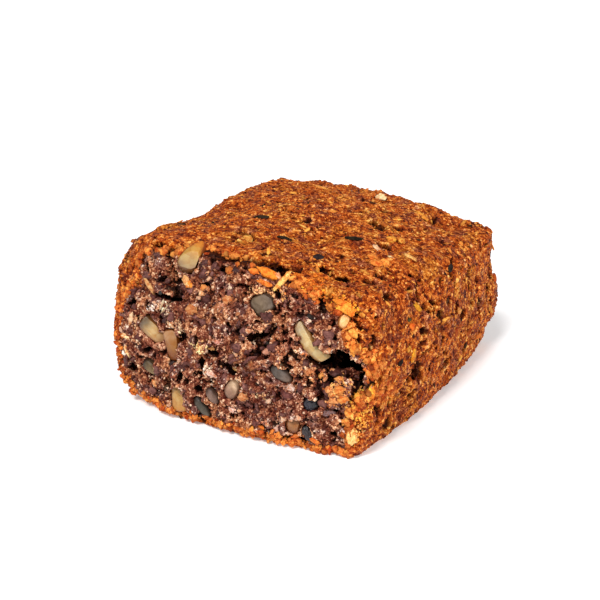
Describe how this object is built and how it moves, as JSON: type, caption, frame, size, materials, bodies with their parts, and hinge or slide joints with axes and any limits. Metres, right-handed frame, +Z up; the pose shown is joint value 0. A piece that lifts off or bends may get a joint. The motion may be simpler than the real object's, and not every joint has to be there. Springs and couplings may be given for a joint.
{
  "type": "banana bread",
  "caption": "Cut end of a dense nut and oat banana bread with a baked crust and a rough cut face that shows nuts, seeds and raisins.",
  "frame": {"origin": "middle of the bounding box, on the flat underside that the loaf rests on", "axes": "+Z up; the cut face looks along -Y, and +Y runs along the loaf to its far crust; +X is to the right of someone who faces the cut"},
  "size_m": [0.0866, 0.099, 0.0478],
  "materials": {
    "crust": "rough baked crust and crumb, no shine",
    "nut": "smooth cut nut, faint sheen",
    "seed": "smooth seed, faint sheen",
    "raisin": "dark wrinkled skin, faint sheen"
  },
  "bodies": {
    "root": {"loaf": "crust", "nut_chip": "nut", "nut_corner": "nut", "nut_round": "nut", "nut_slice_long": "nut", "nut_slice_short": "nut", "nut_strip": "nut", "nut_wedge": "nut", "raisin_foot": "raisin", "raisin_right": "raisin", "seed_foot": "seed", "seed_foot_upper": "seed", "seed_high": "seed", "seed_left": "seed", "seed_middle": "seed", "seed_pale": "seed"}
  },
  "joints": []
}
